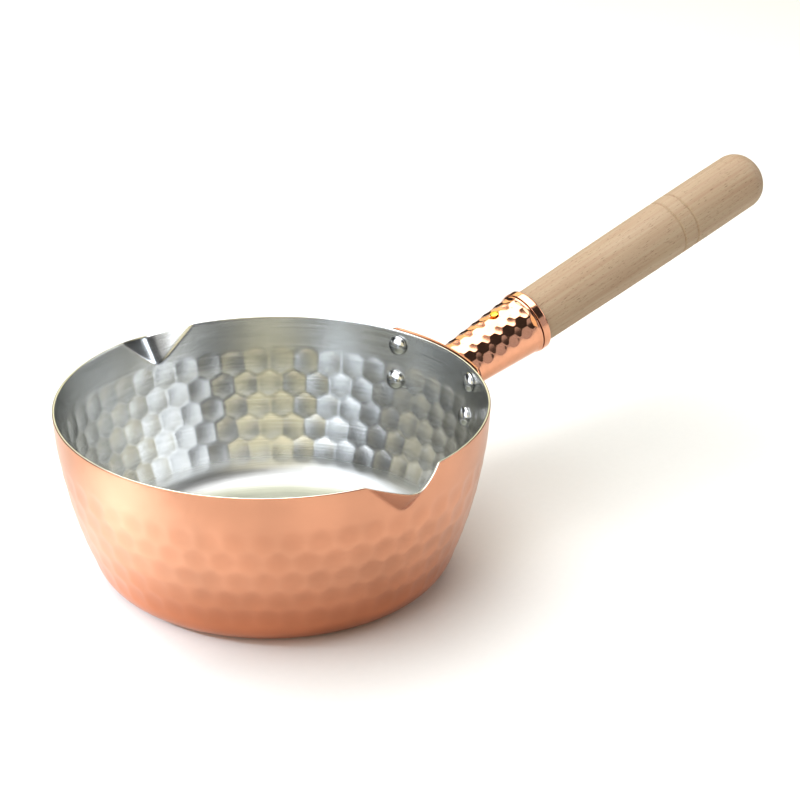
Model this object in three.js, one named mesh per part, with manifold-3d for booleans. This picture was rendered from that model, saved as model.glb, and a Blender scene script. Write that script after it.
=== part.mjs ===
// Saucepan of tin-lined copper with two pouring spouts, a hammered copper handle socket and a
// turned wooden handle. Millimetres, +Z up. The origin is the centre of the base's underside,
// the handle points along +X and the spouts along -Y and +Y.
import * as THREE from "three";
import { mergeVertices } from "three/addons/utils/BufferGeometryUtils.js";
import Module from "manifold-3d";

// ---- driving dimensions -------------------------------------------------------------------

const BORE_DIAMETER = 180; // across the inside of the rim
const PAN_HEIGHT = 76.4; // underside of the base to the rim
const WALL = 1.2; // copper sheet, base and wall alike
const LEAN_AT_RIM = rad(2.3); // slope of the wall from the vertical
const LEAN_AT_FOOT = rad(22.7);
const FOOT_RADIUS = 16; // outside corner between wall and base

const SPOUT_WIDTH = 37; // along the rim
const SPOUT_REACH = 7.6; // tip of the lip beyond the rim's circle
const SPOUT_DIP = 4.4; // tip of the lip below the rim
const SPOUT_DEPTH = 15; // rim to the point where the spout's two creases meet
const SPOUT_NOSE = 7; // width of the tip's rounding

const FIT_GAP = 0.3; // between pieces that touch or pass through one another

const BRACKET_THICKNESS = 1.2;
const BRACKET_WIDTH = 67; // seen from the handle's end
const BRACKET_DROP = 30.1; // rim to the lower edge
const BRACKET_RISE = 0.3; // rim to the upper edge
const BRACKET_CORNER = 6;

const RIVET_ACROSS = 51.4; // centre to centre, seen from the handle's end
const RIVET_DROP = 6.8; // rim to the centres of the upper rivets
const RIVET_PITCH = 15.9; // upper to lower rivets
const RIVET_SHANK = 4.6; // diameters
const RIVET_HEAD = 9;
const RIVET_DOME = 2.6; // height of the head inside the pan
const RIVET_SET = 1.4; // height of the head on the bracket

const HANDLE_TILT = rad(16.5); // rise of the handle's axis
const HANDLE_DROP = 14.4; // rim to the point where the axis meets the rim's cylinder
const SOCKET_LENGTH = 47.3; // along the axis, from that point
const SOCKET_ROOT = 21.4; // outside diameters of the tapered tube
const SOCKET_MOUTH = 27.7;
const SOCKET_WALL = 1.2;
const FLARE = 0.4; // swell of the tube's last stretch
const FLARE_LENGTH = 2.4;
const CREVICE = 0.4; // between the tube and its collar
const COLLAR_LENGTH = 4;
const COLLAR_WALL = 1.55; // at the collar's mouth
const COLLAR_EDGE = 0.8; // rounding of the mouth's edge

const SHANK_LENGTH = 42; // wood inside, back from the collar's mouth
const WOOD_LENGTH = 142.5; // wood outside, from the collar's mouth to the tip
const WOOD_BELLY = 27.1; // widest diameter
const WOOD_TAIL = 26.9; // diameter where the tip's rounding starts
const WOOD_BELLY_PLACE = 100; // from the collar's mouth
const WOOD_TIP_RADIUS = 10.7;
const GROOVE_BACKS = [57.3, 48.9]; // turned grooves, back from the tip
const GROOVE_WIDTH = 1.7;
const GROOVE_DEPTH = 0.6;
const SHANK_CHAMFER = 1;

const SCREW_BACK = 13.3; // screw's axis, back from the tube's end
const SCREW_HEAD = 4.2; // diameters
const SCREW_SHANK = 2;
const SCREW_DOME = 0.6;
const SCREW_LENGTH = 9; // under the head
const SCREW_POINT = 2;

// ---- fineness of the facets ---------------------------------------------------------------

const PAN_SIDES = 96; // a multiple of four, so that a column stands on each spout's middle
const WALL_STEPS = 10;
const FOOT_STEPS = 4;
const TUBE_SIDES = 40;
const WOOD_STEPS = 7;
const TIP_STEPS = 5;
const FASTENER_SIDES = 16;
const DOME_STEPS = 4;
const MERGE = 1e-4;

// ---- finishes -----------------------------------------------------------------------------

const COPPER = { color: 0xd99a78, roughness: 0.35, metalness: 1 };
const HAMMERED_COPPER = { color: 0xe0a080, roughness: 0.12, metalness: 1 };
const STEEL = { color: 0xc4c6c8, roughness: 0.2, metalness: 1 };
const BRASS = { color: 0xe0b040, roughness: 0.25, metalness: 1 };
const BEECH = { color: 0xdcc6a4, roughness: 0.6, metalness: 0 };

// ---- derived sizes ------------------------------------------------------------------------

const RIM_RADIUS = BORE_DIAMETER / 2 + WALL;
const FOOT_TOP = FOOT_RADIUS * (1 - Math.sin(LEAN_AT_FOOT));
const SIDE_RADIUS = (PAN_HEIGHT - FOOT_TOP) / (Math.sin(LEAN_AT_FOOT) - Math.sin(LEAN_AT_RIM));
const SPOUT_HALF_ANGLE = Math.asin(SPOUT_WIDTH / 2 / RIM_RADIUS);
const BRACKET_BACK = WALL + FIT_GAP; // its faces, measured out from the pan's inside
const BRACKET_FRONT = BRACKET_BACK + BRACKET_THICKNESS;
const COLLAR_START = SOCKET_LENGTH + CREVICE;
const COLLAR_END = COLLAR_START + COLLAR_LENGTH;
const SHANK_START = COLLAR_END - SHANK_LENGTH;
const WOOD_END = COLLAR_END + WOOD_LENGTH;
const TIP_START = WOOD_END - WOOD_TIP_RADIUS;
const SCREW_PLACE = SOCKET_LENGTH - SCREW_BACK;
const SCREW_SEAT = tubeRadius(SCREW_PLACE) + FIT_GAP; // underside of its head, off the axis
const HANDLE_FRAME = new THREE.Matrix4()
  .makeTranslation(RIM_RADIUS, 0, PAN_HEIGHT - HANDLE_DROP)
  .multiply(new THREE.Matrix4().makeRotationY(-HANDLE_TILT));

function rad(degrees) {
  return (degrees * Math.PI) / 180;
}

// Slope of the wall at a height, from the vertical. The wall is an arc up to the rim, and
// what rises past the rim stays on the same arc.
function leanAt(z) {
  return Math.asin(Math.sin(LEAN_AT_RIM) + (PAN_HEIGHT - z) / SIDE_RADIUS);
}

// A point of the wall's section, out from its inner face along the normal.
function wallPoint(z, out) {
  const lean = leanAt(z);
  const radius = RIM_RADIUS - SIDE_RADIUS * (Math.cos(LEAN_AT_RIM) - Math.cos(lean));
  const shift = out - WALL;
  return point(radius + shift * Math.cos(lean), z - shift * Math.sin(lean));
}

// Radii about the handle's axis, where s runs along it from the rim's cylinder.
function tubeRadius(s) {
  return (SOCKET_ROOT + ((SOCKET_MOUTH - SOCKET_ROOT) * s) / SOCKET_LENGTH) / 2;
}

function boreRadius(s) {
  return tubeRadius(s) - SOCKET_WALL;
}

function shankRadius(s) {
  return boreRadius(s) - FIT_GAP;
}

function woodRadius(s) {
  const belly = COLLAR_END + WOOD_BELLY_PLACE;
  const swelling = s < belly;
  const end = swelling ? shankRadius(COLLAR_END) : WOOD_TAIL / 2;
  const share = swelling ? (belly - s) / WOOD_BELLY_PLACE : (s - belly) / (TIP_START - belly);
  return end + (WOOD_BELLY / 2 - end) * Math.cos((share * Math.PI) / 2);
}

// ---- helpers ------------------------------------------------------------------------------

const wasm = await Module();
wasm.setup();

function point(radius, height) {
  return new THREE.Vector2(radius, height);
}

// The geometry's corners merged, with the faces that shrank to a line on the axis left out.
function solid(geometry) {
  const bare = geometry.clone();
  bare.deleteAttribute("normal");
  bare.deleteAttribute("uv");
  const merged = mergeVertices(bare, MERGE);
  const corners = merged.index.array;
  const faces = [];
  for (let i = 0; i < corners.length; i += 3) {
    const [a, b, c] = corners.slice(i, i + 3);
    if (a !== b && b !== c && c !== a) faces.push(a, b, c);
  }
  return new wasm.Manifold(new wasm.Mesh({
    numProp: 3,
    vertProperties: new Float32Array(merged.attributes.position.array),
    triVerts: new Uint32Array(faces),
  }));
}

function toGeometry(manifold) {
  const { vertProperties, triVerts } = manifold.getMesh();
  const geometry = new THREE.BufferGeometry();
  geometry.setAttribute("position", new THREE.BufferAttribute(vertProperties, 3));
  geometry.setIndex(new THREE.BufferAttribute(triVerts, 1));
  return geometry;
}

// Cuts every tool out of a piece.
function cut(geometry, tools) {
  const result = tools.reduce((left, tool) => left.subtract(solid(tool)), solid(geometry));
  return toGeometry(result);
}

// A solid of revolution about +Z. Its profile runs with the material on its left, from the
// axis to the axis or round to its own first point.
function turned(points, sides) {
  return new THREE.LatheGeometry(points, sides).rotateX(Math.PI / 2);
}

// The same about +X.
function turnedAlong(points, sides) {
  return turned(points, sides).rotateY(Math.PI / 2);
}

function ring(points) {
  return [...points, points[0]];
}

function arc(radius, height, size, from, to, steps) {
  return Array.from({ length: steps + 1 }, (_, i) => {
    const angle = from + ((to - from) * i) / steps;
    return point(radius + size * Math.cos(angle), height + size * Math.sin(angle));
  });
}

// Half of a dome's section, from its edge up to the axis.
function dome(radius, base, rise) {
  return Array.from({ length: DOME_STEPS + 1 }, (_, i) => {
    const angle = (Math.PI / 2) * (i / DOME_STEPS);
    return point(i === DOME_STEPS ? 0 : radius * Math.cos(angle), base + rise * Math.sin(angle));
  });
}

function piece(name, geometry, finish) {
  const mesh = new THREE.Mesh(geometry, new THREE.MeshStandardMaterial(finish));
  mesh.name = name;
  return mesh;
}

// ---- pan body -----------------------------------------------------------------------------

// Section of the bowl from the axis to the rim, a distance in from its outer face.
function bowlSection(inset) {
  const foot = wallPoint(FOOT_TOP, WALL).x - FOOT_RADIUS * Math.cos(LEAN_AT_FOOT);
  const bend = arc(foot, FOOT_RADIUS, FOOT_RADIUS - inset, -Math.PI / 2, -LEAN_AT_FOOT, FOOT_STEPS);
  const side = Array.from({ length: WALL_STEPS - 1 }, (_, i) => {
    const z = FOOT_TOP + ((PAN_HEIGHT - FOOT_TOP) * (i + 1)) / WALL_STEPS;
    return wallPoint(z, WALL - inset);
  });
  return [point(0, inset), ...bend, ...side, point(RIM_RADIUS - inset, PAN_HEIGHT)];
}

// A spout is two flat facets folded out of the wall along a ridge, which runs from the tip of
// the lip down to the point where their creases meet. The rise is 1 at the tip and 0 on both
// creases.
function spoutRise(angle, z) {
  const across = Math.abs(angle) / SPOUT_HALF_ANGLE;
  const up = 1 - (PAN_HEIGHT - z) / SPOUT_DEPTH;
  const nose = SPOUT_NOSE / SPOUT_WIDTH;
  const rounded = (Math.hypot(across, nose) - nose) / (Math.hypot(1, nose) - nose);
  return Math.max(0, up - rounded);
}

function pressSpouts(geometry) {
  const place = geometry.attributes.position;
  for (let i = 0; i < place.count; i++) {
    const [x, y, z] = [place.getX(i), place.getY(i), place.getZ(i)];
    const rise = spoutRise(Math.atan2(x, Math.abs(y)), z);
    const grow = rise > 0 ? 1 + (SPOUT_REACH * rise) / Math.hypot(x, y) : 1;
    place.setXYZ(i, x * grow, y * grow, z - SPOUT_DIP * rise);
  }
  return geometry;
}

function bowl() {
  const outside = bowlSection(0);
  const inside = bowlSection(WALL).reverse();
  return pressSpouts(turned([...outside, ...inside], PAN_SIDES));
}

// ---- rivets -------------------------------------------------------------------------------

// Each rivet stands square to the wall. Its frame has +X outwards and its origin on the
// wall's inner face.
function rivetFrame(side, drop) {
  const z = PAN_HEIGHT - drop;
  const start = wallPoint(z, 0);
  const angle = side * Math.asin(RIVET_ACROSS / 2 / RIM_RADIUS);
  return new THREE.Matrix4()
    .makeRotationZ(angle)
    .multiply(new THREE.Matrix4().makeTranslation(start.x, 0, start.y))
    .multiply(new THREE.Matrix4().makeRotationY(leanAt(z)));
}

const RIVETS = [
  ["rivet_right_upper", rivetFrame(-1, RIVET_DROP)],
  ["rivet_right_lower", rivetFrame(-1, RIVET_DROP + RIVET_PITCH)],
  ["rivet_left_upper", rivetFrame(1, RIVET_DROP)],
  ["rivet_left_lower", rivetFrame(1, RIVET_DROP + RIVET_PITCH)],
];

function rivet() {
  const seat = BRACKET_FRONT + FIT_GAP;
  const inner = dome(RIVET_HEAD / 2, 0, -RIVET_DOME).reverse();
  return turnedAlong([
    ...inner.map(({ x, y }) => point(x, y - FIT_GAP)),
    point(RIVET_SHANK / 2, -FIT_GAP),
    point(RIVET_SHANK / 2, seat),
    ...dome(RIVET_HEAD / 2, seat, RIVET_SET),
  ], FASTENER_SIDES);
}

// Clearance holes for the rivets, long enough to pass the wall and the bracket.
function rivetHoles() {
  const radius = RIVET_SHANK / 2 + FIT_GAP;
  const length = 2 * RIVET_HEAD;
  return RIVETS.map(([, frame]) => new THREE.CylinderGeometry(radius, radius, length, FASTENER_SIDES)
    .rotateZ(-Math.PI / 2)
    .applyMatrix4(frame));
}

// ---- handle bracket -----------------------------------------------------------------------

// The wall's own curve, moved out by the bracket's thickness.
function bracketShell() {
  const low = PAN_HEIGHT - BRACKET_DROP - BRACKET_CORNER;
  const high = PAN_HEIGHT + BRACKET_RISE + BRACKET_CORNER;
  const heights = Array.from({ length: WALL_STEPS + 1 }, (_, i) => low + ((high - low) * i) / WALL_STEPS);
  const front = heights.map((z) => wallPoint(z, BRACKET_FRONT));
  const back = heights.map((z) => wallPoint(z, BRACKET_BACK)).reverse();
  return turned(ring([...front, ...back]), PAN_SIDES);
}

// A rounded oblong seen from the handle's end, run along +X through the shell.
function bracketOutline() {
  const half = BRACKET_WIDTH / 2;
  const low = PAN_HEIGHT - BRACKET_DROP;
  const high = PAN_HEIGHT + BRACKET_RISE;
  const c = BRACKET_CORNER;
  const shape = new THREE.Shape();
  shape.absarc(half - c, high - c, c, 0, Math.PI / 2);
  shape.absarc(c - half, high - c, c, Math.PI / 2, Math.PI);
  shape.absarc(c - half, low + c, c, Math.PI, 1.5 * Math.PI);
  shape.absarc(half - c, low + c, c, 1.5 * Math.PI, 2 * Math.PI);
  const options = { depth: 2 * RIM_RADIUS, bevelEnabled: false, curveSegments: FOOT_STEPS };
  return new THREE.ExtrudeGeometry(shape, options).rotateX(Math.PI / 2).rotateZ(Math.PI / 2);
}

function bracket() {
  const plate = solid(bracketShell()).intersect(solid(bracketOutline()));
  return cut(toGeometry(plate), rivetHoles());
}

// ---- handle socket and collar -------------------------------------------------------------

// Everything inboard of the bracket's front, seen from the handle's frame.
function bracketSide() {
  const out = BRACKET_FRONT + FIT_GAP;
  const high = PAN_HEIGHT + SOCKET_ROOT;
  const heights = Array.from({ length: WALL_STEPS + 1 }, (_, i) => {
    return FOOT_TOP + ((high - FOOT_TOP) * i) / WALL_STEPS;
  });
  const face = heights.map((z) => wallPoint(z, out));
  const section = [point(0, face[0].y), ...face, point(0, face[WALL_STEPS].y)];
  return turned(section, PAN_SIDES).applyMatrix4(HANDLE_FRAME.clone().invert());
}

function screwHole(clearance) {
  const radius = SCREW_SHANK / 2 + clearance;
  return new THREE.CylinderGeometry(radius, radius, SCREW_LENGTH + 2 * clearance, FASTENER_SIDES)
    .rotateX(Math.PI / 2)
    .translate(SCREW_PLACE, 0, SCREW_SEAT - SCREW_LENGTH / 2);
}

// The tube starts inside the bowl, so that the bracket's face trims its root to fit.
function socket() {
  const start = -SOCKET_ROOT;
  const lip = tubeRadius(SOCKET_LENGTH) + FLARE;
  const tube = turnedAlong(ring([
    point(boreRadius(start), start),
    point(tubeRadius(start), start),
    point(tubeRadius(0), 0),
    point(tubeRadius(SOCKET_LENGTH - FLARE_LENGTH), SOCKET_LENGTH - FLARE_LENGTH),
    point(lip, SOCKET_LENGTH - FLARE),
    point(lip, SOCKET_LENGTH),
    point(boreRadius(SOCKET_LENGTH), SOCKET_LENGTH),
  ]), TUBE_SIDES);
  return cut(tube, [bracketSide(), screwHole(FIT_GAP)]);
}

function collar() {
  const outer = boreRadius(COLLAR_END) + COLLAR_WALL;
  return turnedAlong(ring([
    point(boreRadius(COLLAR_START), COLLAR_START),
    point(outer, COLLAR_START),
    ...arc(outer - COLLAR_EDGE, COLLAR_END - COLLAR_EDGE, COLLAR_EDGE, 0, Math.PI / 2, DOME_STEPS),
    point(boreRadius(COLLAR_END), COLLAR_END),
  ]), TUBE_SIDES);
}

// ---- wooden handle ------------------------------------------------------------------------

function woodStations() {
  const grooves = GROOVE_BACKS.map((back) => WOOD_END - back);
  const clear = (s) => grooves.every((groove) => Math.abs(s - groove) > GROOVE_WIDTH);
  const steps = Array.from({ length: WOOD_STEPS + 1 }, (_, i) => {
    return COLLAR_END + ((TIP_START - COLLAR_END) * i) / WOOD_STEPS;
  });
  const plain = steps.filter(clear).map((s) => point(woodRadius(s), s));
  const cuts = grooves.flatMap((s) => [
    point(woodRadius(s), s - GROOVE_WIDTH / 2),
    point(woodRadius(s) - GROOVE_DEPTH, s),
    point(woodRadius(s), s + GROOVE_WIDTH / 2),
  ]);
  return [...plain, ...cuts].sort((a, b) => a.y - b.y);
}

function wood() {
  const tail = WOOD_TAIL / 2 - WOOD_TIP_RADIUS;
  const tip = arc(tail, TIP_START, WOOD_TIP_RADIUS, 0, Math.PI / 2, TIP_STEPS).slice(1);
  const stick = turnedAlong([
    point(0, SHANK_START),
    point(shankRadius(SHANK_START) - SHANK_CHAMFER, SHANK_START),
    point(shankRadius(SHANK_START + SHANK_CHAMFER), SHANK_START + SHANK_CHAMFER),
    ...woodStations(),
    ...tip,
    point(0, WOOD_END),
  ], TUBE_SIDES);
  return cut(stick, [screwHole(FIT_GAP)]);
}

// ---- handle screw -------------------------------------------------------------------------

function screw() {
  return turned([
    point(0, -SCREW_LENGTH),
    point(SCREW_SHANK / 2, SCREW_POINT - SCREW_LENGTH),
    point(SCREW_SHANK / 2, 0),
    ...dome(SCREW_HEAD / 2, 0, SCREW_DOME),
  ], FASTENER_SIDES).translate(SCREW_PLACE, 0, SCREW_SEAT);
}

// ---- assembly -----------------------------------------------------------------------------

const saucepan = new THREE.Group();
saucepan.add(piece("pan_body", cut(bowl(), rivetHoles()), COPPER));
saucepan.add(piece("handle_bracket", bracket(), COPPER));
for (const [name, frame] of RIVETS) {
  const mesh = piece(name, rivet(), STEEL);
  mesh.applyMatrix4(frame);
  saucepan.add(mesh);
}

const handle = new THREE.Group();
handle.applyMatrix4(HANDLE_FRAME);
handle.add(piece("handle_socket", socket(), HAMMERED_COPPER));
handle.add(piece("socket_collar", collar(), HAMMERED_COPPER));
handle.add(piece("wooden_handle", wood(), BEECH));
handle.add(piece("handle_screw", screw(), BRASS));
saucepan.add(handle);

export default saucepan;
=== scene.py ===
"""A hammered copper saucepan with a turned beech handle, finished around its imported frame."""

import math
import random

import bmesh
import bpy
from bpy.props import FloatProperty, FloatVectorProperty, IntProperty, PointerProperty
from mathutils import Matrix, Vector


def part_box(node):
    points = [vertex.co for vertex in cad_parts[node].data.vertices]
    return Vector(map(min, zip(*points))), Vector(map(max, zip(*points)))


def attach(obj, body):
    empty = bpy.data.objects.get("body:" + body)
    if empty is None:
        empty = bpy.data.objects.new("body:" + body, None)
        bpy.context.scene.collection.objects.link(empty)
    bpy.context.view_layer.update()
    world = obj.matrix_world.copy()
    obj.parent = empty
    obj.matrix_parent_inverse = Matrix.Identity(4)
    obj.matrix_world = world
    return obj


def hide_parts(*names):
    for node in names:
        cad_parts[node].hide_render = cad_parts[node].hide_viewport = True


bl_info = {
    "name": "Copper Saucepan",
    "version": (1, 0, 0),
    "blender": (4, 5, 0),
    "location": "View3D > Sidebar > Saucepan",
    "description": "Makes the finished surfaces of a hammered copper saucepan, its handle and its studio",
    "category": "Add Mesh",
}

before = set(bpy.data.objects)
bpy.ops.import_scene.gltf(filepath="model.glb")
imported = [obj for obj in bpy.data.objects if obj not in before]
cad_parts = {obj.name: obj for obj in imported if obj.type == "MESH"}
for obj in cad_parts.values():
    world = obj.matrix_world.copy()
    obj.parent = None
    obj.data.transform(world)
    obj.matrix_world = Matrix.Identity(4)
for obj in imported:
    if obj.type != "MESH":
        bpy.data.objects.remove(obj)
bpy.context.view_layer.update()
PAN_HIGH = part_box("pan_body")[1]

MM = 0.001
TURN = 2 * math.pi
SAME_PLACE = 1e-7
WHITE = (1.0, 1.0, 1.0, 1.0)


# ---- sizes and colours --------------------------------------------------------------------


def length(name, description, default, **extra):
    """A distance property in metres."""
    return FloatProperty(
        name=name, description=description, default=default, unit="LENGTH", subtype="DISTANCE",
        precision=5, **extra
    )


def angle(name, description, degrees):
    """An angle property, with its default given in degrees."""
    return FloatProperty(
        name=name, description=description, default=math.radians(degrees), subtype="ANGLE",
        unit="ROTATION"
    )


def linear_channel(value):
    """One sRGB channel from 0 to 1, turned linear."""
    return value / 12.92 if value <= 0.04045 else ((value + 0.055) / 1.055) ** 2.4


def colour_from_hex(text):
    """A linear RGBA colour from an sRGB hex value such as B87333."""
    channels = [int(text[i : i + 2], 16) / 255 for i in (0, 2, 4)]
    return (*[linear_channel(c) for c in channels], 1.0)


def colour(name, description, text):
    """A colour property, with its default given as an sRGB hex value."""
    return FloatVectorProperty(
        name=name, description=description, default=colour_from_hex(text), size=4, min=0, max=1,
        subtype="COLOR"
    )


class PanSizes(bpy.types.PropertyGroup):
    """The bowl's section, its spouts and its hammer marks."""

    height: length("Height", "From the base to the rim", PAN_HIGH.z)
    rim_radius: length("Rim radius", "Outside of the rim, away from the spouts", PAN_HIGH.x)
    wall: length("Wall", "Thickness of the tinned copper sheet", 1.2 * MM)
    lean_at_rim: angle("Lean at rim", "Slope of the wall from the vertical at the rim", 2.3)
    lean_at_foot: angle("Lean at foot", "Slope of the wall where it turns into the foot", 22.7)
    foot_radius: length("Foot radius", "Outer radius of the bend into the base", 16 * MM)
    spout_width: length("Spout width", "Chord between a spout's two creases at the rim", 37 * MM)
    spout_reach: length("Spout reach", "How far the lip's tip stands out of the rim", 7.6 * MM)
    spout_dip: length("Spout dip", "How far the tip drops below the rim", 4.4 * MM)
    spout_depth: length("Spout depth", "From the rim down to where the creases meet", 15 * MM)
    spout_nose: length("Spout nose", "Width over which the spout's ridge is rounded", 7 * MM)
    marks_round: IntProperty(name="Marks round", description="Hammer marks in a row", default=50)
    mark_rows: IntProperty(name="Mark rows", description="Rows of hammer marks", default=5)
    row_pitch: length("Row pitch", "Height from one row of marks to the next", 9.65 * MM)
    top_row: length("Top row", "From the rim down to the middle of the top row", 21.4 * MM)
    mark_reach: length("Mark reach", "Radius at which a mark runs out", 6.5 * MM)
    mark_jog: length("Mark jog", "How far a blow may land from its place", 0.35 * MM)
    mark_inside: length("Mark inside", "Height of each bump on the tinned side", 0.46 * MM)
    mark_outside: length("Mark outside", "Depth of each dish on the copper side", 0.4 * MM)
    mark_phase: angle("Mark phase", "Where the top row starts, from the handle", 2.3)


class BracketSizes(bpy.types.PropertyGroup):
    """The plate riveted to the wall, and its rivets."""

    gap: length("Gap", "Clearance between touching pieces", 0.3 * MM)
    thickness: length("Thickness", "Of the copper plate", 1.2 * MM)
    corner: length("Corner", "Radius of the plate's corners", 6 * MM)
    rivet_across: length("Rivet spacing", "Between the two columns of rivets", 51.4 * MM)
    rivet_drop: length("Rivet drop", "From the rim to the upper rivets", 6.8 * MM)
    rivet_pitch: length("Rivet pitch", "From the upper to the lower rivets", 15.9 * MM)
    rivet_shank: length("Rivet shank", "Diameter", 4.6 * MM)
    rivet_head: length("Rivet head", "Diameter of both heads", 9 * MM)
    rivet_dome: length("Rivet dome", "Height of the head inside the pan", 2.6 * MM)
    rivet_set: length("Rivet set", "Height of the head on the plate", 1.4 * MM)
    rivet_edge: length("Rivet edge", "Height of the straight edge under each dome", 0.35 * MM)


class HandleSizes(bpy.types.PropertyGroup):
    """The copper tube, its collar, the wood and the screw, along the handle's axis."""

    tilt: angle("Tilt", "Rise of the handle's axis", 16.5)
    drop: length("Drop", "From the rim's plane to the axis, at the rim", 14.4 * MM)
    tube_length: length("Tube length", "From the rim's cylinder to the crevice", 47.3 * MM)
    tube_root: length("Tube root", "Outer diameter at the rim", 21.4 * MM)
    tube_mouth: length("Tube mouth", "Outer diameter at the crevice", 27.7 * MM)
    tube_wall: length("Tube wall", "Thickness", 1.2 * MM)
    flare: length("Flare", "How far the tube's lip turns out", 0.4 * MM)
    flare_length: length("Flare length", "Over which the lip turns out", 2.4 * MM)
    crevice: length("Crevice", "Between tube and collar", 0.4 * MM)
    collar_length: length("Collar length", "Along the axis", 4 * MM)
    collar_wall: length("Collar wall", "Thickness at its outer end", 1.55 * MM)
    collar_edge: length("Collar edge", "Radius of its outer edge", 0.8 * MM)
    shank_length: length("Shank length", "Of wood inside tube and collar", 42 * MM)
    wood_length: length("Wood length", "Of wood outside the collar", 142.5 * MM)
    wood_belly: length("Wood belly", "Largest diameter", 27.1 * MM)
    belly_place: length("Belly place", "From the collar to the belly", 100 * MM)
    wood_tail: length("Wood tail", "Diameter where the tip starts", 26.9 * MM)
    tip_radius: length("Tip radius", "Rounding of the wood's end", 10.7 * MM)
    groove_outer: length("Outer groove", "From the wood's end", 48.9 * MM)
    groove_inner: length("Inner groove", "From the wood's end", 57.3 * MM)
    groove_width: length("Groove width", "Across", 1.7 * MM)
    groove_depth: length("Groove depth", "Into the wood", 0.6 * MM)
    first_dent: length("First dent", "From the crevice to the first row of dents", 3.3 * MM)
    dent_pitch: length("Dent pitch", "Between rows of dents along the tube", 3.65 * MM)
    dents_round: IntProperty(name="Dents round", description="Dents in a full turn", default=15)
    dent_reach: length("Dent reach", "Radius at which a dent runs out", 2.9 * MM)
    dent_depth: length("Dent depth", "At its middle", 0.42 * MM)
    dent_limit: angle("Dent limit", "How far round from the top the dents go", 80)
    screw_back: length("Screw back", "From the tube's end to the screw", 13.3 * MM)
    screw_head: length("Screw head", "Diameter", 4.2 * MM)
    screw_shank: length("Screw shank", "Diameter", 2 * MM)
    screw_dome: length("Screw dome", "Height of the head", 0.6 * MM)
    screw_length: length("Screw length", "Under the head", 9 * MM)
    screw_point: length("Screw point", "Length of the taper at its end", 2 * MM)


class FinishColours(bpy.types.PropertyGroup):
    """The colours that the finishes start from."""

    copper: colour("Satin copper", "Brushed copper", "DAA68A")
    polished: colour("Polished copper", "Mirror-bright copper", "EEB596")
    tin: colour("Wiped tin", "The tin lining", "E2E3E3")
    steel: colour("Stainless steel", "The rivets", "D4D5D6")
    brass: colour("Brass", "The screw", "F2D060")
    beech: colour("Beech", "The pale wood between its flecks", "BBA890")
    beech_dark: colour("Beech fleck", "Flecks and darker grain lines", "A08A76")
    paper: colour("Paper", "The floor under the pan", "EEEEEC")


class StageSizes(bpy.types.PropertyGroup):
    """Camera and floor."""

    heading: angle("Heading", "The way the camera looks, from the handle's line", 52.38)
    pitch: angle("Pitch", "How far down the camera looks", 24.71)
    distance: length("Distance", "From the camera to what it looks at", 1117.2 * MM)
    lens: FloatProperty(name="Lens", description="In millimetres on a 36 mm sensor", default=110.7)
    aim_x: length("Aim X", "What the camera looks at, along the handle", 92.7 * MM)
    aim_y: length("Aim Y", "What the camera looks at, across", 32.9 * MM)
    floor_radius: length("Floor radius", "Of the round paper floor", 6.0)
    floor_drop: length("Floor drop", "From the base down to the paper", 0.2 * MM)
    glow: FloatProperty(name="Glow", description="Strength of the light from all round", default=0.08)
    gamma: FloatProperty(name="Gamma", description="Of the view, below 1 for more contrast", default=0.8)


# ---- shared formulas ----------------------------------------------------------------------


class Bowl:
    """The bowl's section, worked out from its sizes."""

    def __init__(self, sizes):
        self.sizes = sizes
        foot_sine = math.sin(sizes.lean_at_foot)
        self.foot_top = sizes.foot_radius * (1 - foot_sine)
        rise = sizes.height - self.foot_top
        self.side_radius = rise / (foot_sine - math.sin(sizes.lean_at_rim))
        top = self.point(self.foot_top, sizes.wall)
        self.flat = top.x - sizes.foot_radius * math.cos(sizes.lean_at_foot)
        self.spout_half = math.asin(sizes.spout_width / 2 / sizes.rim_radius)

    def lean(self, z):
        """Slope of the wall from the vertical at a height."""
        sine = math.sin(self.sizes.lean_at_rim) + (self.sizes.height - z) / self.side_radius
        return math.asin(max(-1.0, min(1.0, sine)))

    def point(self, z, out):
        """A point of the section as (radius, 0, height), out from the wall's inner face."""
        lean = self.lean(z)
        bow = math.cos(self.sizes.lean_at_rim) - math.cos(lean)
        radius = self.sizes.rim_radius - self.side_radius * bow
        shift = out - self.sizes.wall
        return Vector((radius + shift * math.cos(lean), 0, z - shift * math.sin(lean)))

    def radius(self, z, out):
        """Radius of the surface that lies out from the wall's inner face, at a height."""
        lean = self.lean(z)
        bow = math.cos(self.sizes.lean_at_rim) - math.cos(lean)
        shift = (out - self.sizes.wall) / math.cos(lean)
        return self.sizes.rim_radius - self.side_radius * bow + shift

    def out(self, radius, z):
        """How far a point of the section lies out from the wall's inner face."""
        if z < self.foot_top and radius > self.flat:
            bend = math.hypot(radius - self.flat, z - self.sizes.foot_radius)
            return bend - self.sizes.foot_radius + self.sizes.wall
        if radius <= self.flat:
            return self.sizes.wall - z
        return (radius - self.radius(z, 0)) * math.cos(self.lean(z))

    def spout_rise(self, x, y, z):
        """From 0 on a spout's creases to 1 at the tip of its lip."""
        sizes = self.sizes
        across = abs(math.atan2(x, abs(y))) / self.spout_half
        up = 1 - (sizes.height - z) / sizes.spout_depth
        nose = sizes.spout_nose / sizes.spout_width
        rounded = (math.hypot(across, nose) - nose) / (math.hypot(1, nose) - nose)
        return max(0.0, up - rounded)


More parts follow.
